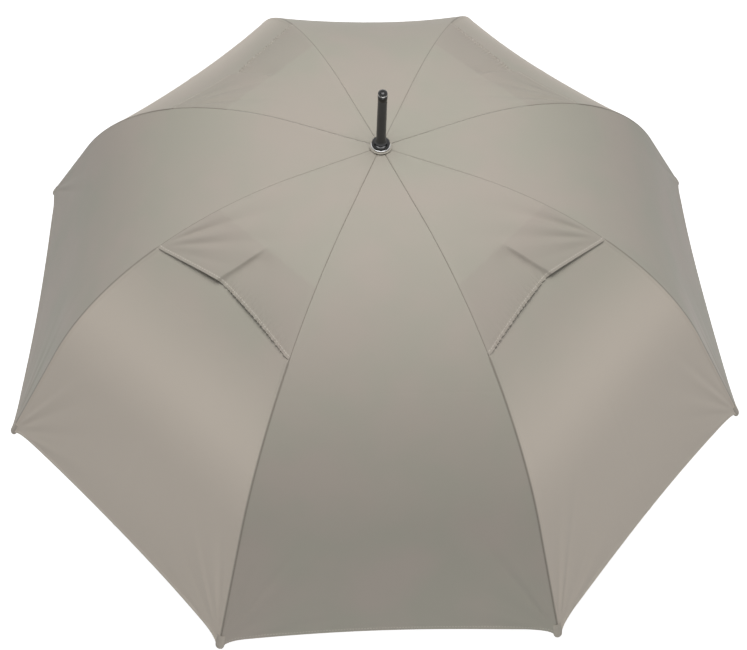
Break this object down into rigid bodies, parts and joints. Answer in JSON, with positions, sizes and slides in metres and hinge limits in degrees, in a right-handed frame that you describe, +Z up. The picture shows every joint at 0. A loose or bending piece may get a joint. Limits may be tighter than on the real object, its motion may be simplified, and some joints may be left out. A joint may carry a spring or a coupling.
{
  "type": "golf umbrella",
  "caption": "Open golf umbrella with a vented double canopy, straight grip, push button and a sliding runner that folds the ribs.",
  "frame": {"origin": "centre of the handle's flat end face", "axes": "+Z up the shaft towards the ferrule, -Y towards the push button"},
  "size_m": [1.1308, 1.1361, 1.072],
  "materials": {
    "canopy_cloth": "woven pongee, matt with a slight sheen",
    "fibreglass": "pultruded fibreglass rod, satin black",
    "strut_steel": "nickel plated steel",
    "shaft_tube": "black enamelled tube",
    "black_plastic": "moulded nylon",
    "gloss_black": "polished moulding",
    "ferrule_plastic": "satin charcoal moulding",
    "bright_ring": "plated",
    "wire": "spring wire",
    "grip_rubber": "soft moulded grip",
    "button_plastic": "moulded"
  },
  "bodies": {
    "frame": {"shaft": "shaft_tube", "crown": "black_plastic", "crown_wire": "wire", "rosette": "canopy_cloth", "ferrule_collar": "gloss_black", "ferrule_ring": "bright_ring", "ferrule": "ferrule_plastic", "ferrule_cap": "gloss_black", "opening_spring": "wire", "handle_cap": "gloss_black", "handle_core": "black_plastic", "handle_grip": "grip_rubber", "button_spring": "wire"},
    "runner": {"runner": "black_plastic", "runner_wire": "wire", "runner_pin": "wire"},
    "button": {"push_button": "button_plastic", "latch": "strut_steel"},
    "rib_1": {"rib_1": "fibreglass"},
    "rib_end_1": {"rib_end_1": "fibreglass"},
    "stretcher_1": {"stretcher_1": "strut_steel"},
    "rib_2": {"rib_2": "fibreglass"},
    "rib_end_2": {"rib_end_2": "fibreglass"},
    "stretcher_2": {"stretcher_2": "strut_steel"},
    "rib_3": {"rib_3": "fibreglass"},
    "rib_end_3": {"rib_end_3": "fibreglass"},
    "stretcher_3": {"stretcher_3": "strut_steel"},
    "rib_4": {"rib_4": "fibreglass"},
    "rib_end_4": {"rib_end_4": "fibreglass"},
    "stretcher_4": {"stretcher_4": "strut_steel"},
    "rib_5": {"rib_5": "fibreglass"},
    "rib_end_5": {"rib_end_5": "fibreglass"},
    "stretcher_5": {"stretcher_5": "strut_steel"},
    "rib_6": {"rib_6": "fibreglass"},
    "rib_end_6": {"rib_end_6": "fibreglass"},
    "stretcher_6": {"stretcher_6": "strut_steel"},
    "rib_7": {"rib_7": "fibreglass"},
    "rib_end_7": {"rib_end_7": "fibreglass"},
    "stretcher_7": {"stretcher_7": "strut_steel"},
    "rib_8": {"rib_8": "fibreglass"},
    "rib_end_8": {"rib_end_8": "fibreglass"},
    "stretcher_8": {"stretcher_8": "strut_steel"},
    "gore_upper_1": {"canopy_upper_1": "canopy_cloth"},
    "gore_lower_1": {"canopy_lower_1": "canopy_cloth"},
    "gore_upper_2": {"canopy_upper_2": "canopy_cloth"},
    "gore_lower_2": {"canopy_lower_2": "canopy_cloth"},
    "gore_upper_3": {"canopy_upper_3": "canopy_cloth"},
    "gore_lower_3": {"canopy_lower_3": "canopy_cloth"},
    "gore_upper_4": {"canopy_upper_4": "canopy_cloth"},
    "gore_lower_4": {"canopy_lower_4": "canopy_cloth"},
    "gore_upper_5": {"canopy_upper_5": "canopy_cloth"},
    "gore_lower_5": {"canopy_lower_5": "canopy_cloth", "closure_strap": "canopy_cloth", "strap_snap": "bright_ring"},
    "gore_upper_6": {"canopy_upper_6": "canopy_cloth"},
    "gore_lower_6": {"canopy_lower_6": "canopy_cloth"},
    "gore_upper_7": {"canopy_upper_7": "canopy_cloth"},
    "gore_lower_7": {"canopy_lower_7": "canopy_cloth"},
    "gore_upper_8": {"canopy_upper_8": "canopy_cloth"},
    "gore_lower_8": {"canopy_lower_8": "canopy_cloth"}
  },
  "joints": [
    {"name": "runner_slide", "type": "slide", "parent": "frame", "child": "runner", "axis": [0, 0, 1], "range_m": [-0.50762, 0], "stiffness_N_per_m": 60, "springref_m": 0.3, "deforming": ["opening_spring"]},
    {"name": "button_press", "type": "slide", "parent": "frame", "child": "button", "axis": [0, 1, 0], "range_m": [0, 0.0022], "stiffness_N_per_m": 900, "springref_m": -0.001, "deforming": ["button_spring"]},
    {"name": "rib_fold_1", "type": "hinge", "parent": "frame", "child": "rib_1", "pos_m": [-0.00421, -0.01016, 0.965], "axis": [0.9239, -0.3827, 0], "range_deg": [0, 77.08]},
    {"name": "rib_flex_1", "type": "hinge", "parent": "rib_1", "child": "rib_end_1", "pos_m": [-0.13749, -0.33193, 0.89249], "axis": [0.9239, -0.3827, 0], "range_deg": [-37.66, 0]},
    {"name": "stretcher_pivot_1", "type": "hinge", "parent": "rib_1", "child": "stretcher_1", "pos_m": [-0.13627, -0.32899, 0.8874], "axis": [0.9239, -0.3827, 0], "range_deg": [-145.13, 0]},
    {"name": "rib_fold_2", "type": "hinge", "parent": "frame", "child": "rib_2", "pos_m": [0.00421, -0.01016, 0.965], "axis": [0.9239, 0.3827, 0], "range_deg": [0, 77.08]},
    {"name": "rib_flex_2", "type": "hinge", "parent": "rib_2", "child": "rib_end_2", "pos_m": [0.13749, -0.33193, 0.89249], "axis": [0.9239, 0.3827, 0], "range_deg": [-37.66, 0]},
    {"name": "stretcher_pivot_2", "type": "hinge", "parent": "rib_2", "child": "stretcher_2", "pos_m": [0.13627, -0.32899, 0.8874], "axis": [0.9239, 0.3827, 0], "range_deg": [-145.13, 0]},
    {"name": "rib_fold_3", "type": "hinge", "parent": "frame", "child": "rib_3", "pos_m": [0.01016, -0.00421, 0.965], "axis": [0.3827, 0.9239, 0], "range_deg": [0, 77.08]},
    {"name": "rib_flex_3", "type": "hinge", "parent": "rib_3", "child": "rib_end_3", "pos_m": [0.33193, -0.13749, 0.89249], "axis": [0.3827, 0.9239, 0], "range_deg": [-37.66, 0]},
    {"name": "stretcher_pivot_3", "type": "hinge", "parent": "rib_3", "child": "stretcher_3", "pos_m": [0.32899, -0.13627, 0.8874], "axis": [0.3827, 0.9239, 0], "range_deg": [-145.13, 0]},
    {"name": "rib_fold_4", "type": "hinge", "parent": "frame", "child": "rib_4", "pos_m": [0.01016, 0.00421, 0.965], "axis": [-0.3827, 0.9239, 0], "range_deg": [0, 77.08]},
    {"name": "rib_flex_4", "type": "hinge", "parent": "rib_4", "child": "rib_end_4", "pos_m": [0.33193, 0.13749, 0.89249], "axis": [-0.3827, 0.9239, 0], "range_deg": [-37.66, 0]},
    {"name": "stretcher_pivot_4", "type": "hinge", "parent": "rib_4", "child": "stretcher_4", "pos_m": [0.32899, 0.13627, 0.8874], "axis": [-0.3827, 0.9239, 0], "range_deg": [-145.13, 0]},
    {"name": "rib_fold_5", "type": "hinge", "parent": "frame", "child": "rib_5", "pos_m": [0.00421, 0.01016, 0.965], "axis": [-0.9239, 0.3827, 0], "range_deg": [0, 77.08]},
    {"name": "rib_flex_5", "type": "hinge", "parent": "rib_5", "child": "rib_end_5", "pos_m": [0.13749, 0.33193, 0.89249], "axis": [-0.9239, 0.3827, 0], "range_deg": [-37.66, 0]},
    {"name": "stretcher_pivot_5", "type": "hinge", "parent": "rib_5", "child": "stretcher_5", "pos_m": [0.13627, 0.32899, 0.8874], "axis": [-0.9239, 0.3827, 0], "range_deg": [-145.13, 0]},
    {"name": "rib_fold_6", "type": "hinge", "parent": "frame", "child": "rib_6", "pos_m": [-0.00421, 0.01016, 0.965], "axis": [-0.9239, -0.3827, 0], "range_deg": [0, 77.08]},
    {"name": "rib_flex_6", "type": "hinge", "parent": "rib_6", "child": "rib_end_6", "pos_m": [-0.13749, 0.33193, 0.89249], "axis": [-0.9239, -0.3827, 0], "range_deg": [-37.66, 0]},
    {"name": "stretcher_pivot_6", "type": "hinge", "parent": "rib_6", "child": "stretcher_6", "pos_m": [-0.13627, 0.32899, 0.8874], "axis": [-0.9239, -0.3827, 0], "range_deg": [-145.13, 0]},
    {"name": "rib_fold_7", "type": "hinge", "parent": "frame", "child": "rib_7", "pos_m": [-0.01016, 0.00421, 0.965], "axis": [-0.3827, -0.9239, 0], "range_deg": [0, 77.08]},
    {"name": "rib_flex_7", "type": "hinge", "parent": "rib_7", "child": "rib_end_7", "pos_m": [-0.33193, 0.13749, 0.89249], "axis": [-0.3827, -0.9239, 0], "range_deg": [-37.66, 0]},
    {"name": "stretcher_pivot_7", "type": "hinge", "parent": "rib_7", "child": "stretcher_7", "pos_m": [-0.32899, 0.13627, 0.8874], "axis": [-0.3827, -0.9239, 0], "range_deg": [-145.13, 0]},
    {"name": "rib_fold_8", "type": "hinge", "parent": "frame", "child": "rib_8", "pos_m": [-0.01016, -0.00421, 0.965], "axis": [0.3827, -0.9239, 0], "range_deg": [0, 77.08]},
    {"name": "rib_flex_8", "type": "hinge", "parent": "rib_8", "child": "rib_end_8", "pos_m": [-0.33193, -0.13749, 0.89249], "axis": [0.3827, -0.9239, 0], "range_deg": [-37.66, 0]},
    {"name": "stretcher_pivot_8", "type": "hinge", "parent": "rib_8", "child": "stretcher_8", "pos_m": [-0.32899, -0.13627, 0.8874], "axis": [0.3827, -0.9239, 0], "range_deg": [-145.13, 0]},
    {"name": "canopy_fold_1", "type": "hinge", "parent": "frame", "child": "gore_upper_1", "pos_m": [0, -0.01016, 0.965], "axis": [1, 0, 0], "range_deg": [0, 74.22], "deforming": ["canopy_upper_1"]},
    {"name": "canopy_bend_1", "type": "hinge", "parent": "gore_upper_1", "child": "gore_lower_1", "pos_m": [0, -0.33409, 0.89623], "axis": [1, 0, 0], "range_deg": [-35.28, 0], "deforming": ["canopy_lower_1"]},
    {"name": "canopy_fold_2", "type": "hinge", "parent": "frame", "child": "gore_upper_2", "pos_m": [0.00719, -0.00719, 0.965], "axis": [0.7071, 0.7071, 0], "range_deg": [0, 74.22], "deforming": ["canopy_upper_2"]},
    {"name": "canopy_bend_2", "type": "hinge", "parent": "gore_upper_2", "child": "gore_lower_2", "pos_m": [0.23623, -0.23623, 0.89623], "axis": [0.7071, 0.7071, 0], "range_deg": [-35.28, 0], "deforming": ["canopy_lower_2"]},
    {"name": "canopy_fold_3", "type": "hinge", "parent": "frame", "child": "gore_upper_3", "pos_m": [0.01016, 0, 0.965], "axis": [0, 1, 0], "range_deg": [0, 74.22], "deforming": ["canopy_upper_3"]},
    {"name": "canopy_bend_3", "type": "hinge", "parent": "gore_upper_3", "child": "gore_lower_3", "pos_m": [0.33409, 0, 0.89623], "axis": [0, 1, 0], "range_deg": [-35.28, 0], "deforming": ["canopy_lower_3"]},
    {"name": "canopy_fold_4", "type": "hinge", "parent": "frame", "child": "gore_upper_4", "pos_m": [0.00719, 0.00719, 0.965], "axis": [-0.7071, 0.7071, 0], "range_deg": [0, 74.22], "deforming": ["canopy_upper_4"]},
    {"name": "canopy_bend_4", "type": "hinge", "parent": "gore_upper_4", "child": "gore_lower_4", "pos_m": [0.23623, 0.23623, 0.89623], "axis": [-0.7071, 0.7071, 0], "range_deg": [-35.28, 0], "deforming": ["canopy_lower_4"]},
    {"name": "canopy_fold_5", "type": "hinge", "parent": "frame", "child": "gore_upper_5", "pos_m": [0, 0.01016, 0.965], "axis": [-1, 0, 0], "range_deg": [0, 74.22], "deforming": ["canopy_upper_5"]},
    {"name": "canopy_bend_5", "type": "hinge", "parent": "gore_upper_5", "child": "gore_lower_5", "pos_m": [0, 0.33409, 0.89623], "axis": [-1, 0, 0], "range_deg": [-35.28, 0], "deforming": ["canopy_lower_5", "closure_strap", "strap_snap"]},
    {"name": "canopy_fold_6", "type": "hinge", "parent": "frame", "child": "gore_upper_6", "pos_m": [-0.00719, 0.00719, 0.965], "axis": [-0.7071, -0.7071, 0], "range_deg": [0, 74.22], "deforming": ["canopy_upper_6"]},
    {"name": "canopy_bend_6", "type": "hinge", "parent": "gore_upper_6", "child": "gore_lower_6", "pos_m": [-0.23623, 0.23623, 0.89623], "axis": [-0.7071, -0.7071, 0], "range_deg": [-35.28, 0], "deforming": ["canopy_lower_6"]},
    {"name": "canopy_fold_7", "type": "hinge", "parent": "frame", "child": "gore_upper_7", "pos_m": [-0.01016, 0, 0.965], "axis": [0, -1, 0], "range_deg": [0, 74.22], "deforming": ["canopy_upper_7"]},
    {"name": "canopy_bend_7", "type": "hinge", "parent": "gore_upper_7", "child": "gore_lower_7", "pos_m": [-0.33409, 0, 0.89623], "axis": [0, -1, 0], "range_deg": [-35.28, 0], "deforming": ["canopy_lower_7"]},
    {"name": "canopy_fold_8", "type": "hinge", "parent": "frame", "child": "gore_upper_8", "pos_m": [-0.00719, -0.00719, 0.965], "axis": [0.7071, -0.7071, 0], "range_deg": [0, 74.22], "deforming": ["canopy_upper_8"]},
    {"name": "canopy_bend_8", "type": "hinge", "parent": "gore_upper_8", "child": "gore_lower_8", "pos_m": [-0.23623, -0.23623, 0.89623], "axis": [0.7071, -0.7071, 0], "range_deg": [-35.28, 0], "deforming": ["canopy_lower_8"]}
  ],
  "couplings": [
    {"joint": "rib_fold_1", "follows": "runner_slide", "rad_per_m": -2.6486},
    {"joint": "rib_flex_1", "follows": "runner_slide", "rad_per_m": 1.2933},
    {"joint": "stretcher_pivot_1", "follows": "runner_slide", "rad_per_m": 4.9881},
    {"joint": "rib_fold_2", "follows": "runner_slide", "rad_per_m": -2.6486},
    {"joint": "rib_flex_2", "follows": "runner_slide", "rad_per_m": 1.2933},
    {"joint": "stretcher_pivot_2", "follows": "runner_slide", "rad_per_m": 4.9881},
    {"joint": "rib_fold_3", "follows": "runner_slide", "rad_per_m": -2.6486},
    {"joint": "rib_flex_3", "follows": "runner_slide", "rad_per_m": 1.2933},
    {"joint": "stretcher_pivot_3", "follows": "runner_slide", "rad_per_m": 4.9881},
    {"joint": "rib_fold_4", "follows": "runner_slide", "rad_per_m": -2.6486},
    {"joint": "rib_flex_4", "follows": "runner_slide", "rad_per_m": 1.2933},
    {"joint": "stretcher_pivot_4", "follows": "runner_slide", "rad_per_m": 4.9881},
    {"joint": "rib_fold_5", "follows": "runner_slide", "rad_per_m": -2.6486},
    {"joint": "rib_flex_5", "follows": "runner_slide", "rad_per_m": 1.2933},
    {"joint": "stretcher_pivot_5", "follows": "runner_slide", "rad_per_m": 4.9881},
    {"joint": "rib_fold_6", "follows": "runner_slide", "rad_per_m": -2.6486},
    {"joint": "rib_flex_6", "follows": "runner_slide", "rad_per_m": 1.2933},
    {"joint": "stretcher_pivot_6", "follows": "runner_slide", "rad_per_m": 4.9881},
    {"joint": "rib_fold_7", "follows": "runner_slide", "rad_per_m": -2.6486},
    {"joint": "rib_flex_7", "follows": "runner_slide", "rad_per_m": 1.2933},
    {"joint": "stretcher_pivot_7", "follows": "runner_slide", "rad_per_m": 4.9881},
    {"joint": "rib_fold_8", "follows": "runner_slide", "rad_per_m": -2.6486},
    {"joint": "rib_flex_8", "follows": "runner_slide", "rad_per_m": 1.2933},
    {"joint": "stretcher_pivot_8", "follows": "runner_slide", "rad_per_m": 4.9881},
    {"joint": "canopy_fold_1", "follows": "runner_slide", "rad_per_m": -2.5503},
    {"joint": "canopy_bend_1", "follows": "runner_slide", "rad_per_m": 1.2113},
    {"joint": "canopy_fold_2", "follows": "runner_slide", "rad_per_m": -2.5503},
    {"joint": "canopy_bend_2", "follows": "runner_slide", "rad_per_m": 1.2113},
    {"joint": "canopy_fold_3", "follows": "runner_slide", "rad_per_m": -2.5503},
    {"joint": "canopy_bend_3", "follows": "runner_slide", "rad_per_m": 1.2113},
    {"joint": "canopy_fold_4", "follows": "runner_slide", "rad_per_m": -2.5503},
    {"joint": "canopy_bend_4", "follows": "runner_slide", "rad_per_m": 1.2113},
    {"joint": "canopy_fold_5", "follows": "runner_slide", "rad_per_m": -2.5503},
    {"joint": "canopy_bend_5", "follows": "runner_slide", "rad_per_m": 1.2113},
    {"joint": "canopy_fold_6", "follows": "runner_slide", "rad_per_m": -2.5503},
    {"joint": "canopy_bend_6", "follows": "runner_slide", "rad_per_m": 1.2113},
    {"joint": "canopy_fold_7", "follows": "runner_slide", "rad_per_m": -2.5503},
    {"joint": "canopy_bend_7", "follows": "runner_slide", "rad_per_m": 1.2113},
    {"joint": "canopy_fold_8", "follows": "runner_slide", "rad_per_m": -2.5503},
    {"joint": "canopy_bend_8", "follows": "runner_slide", "rad_per_m": 1.2113}
  ]
}
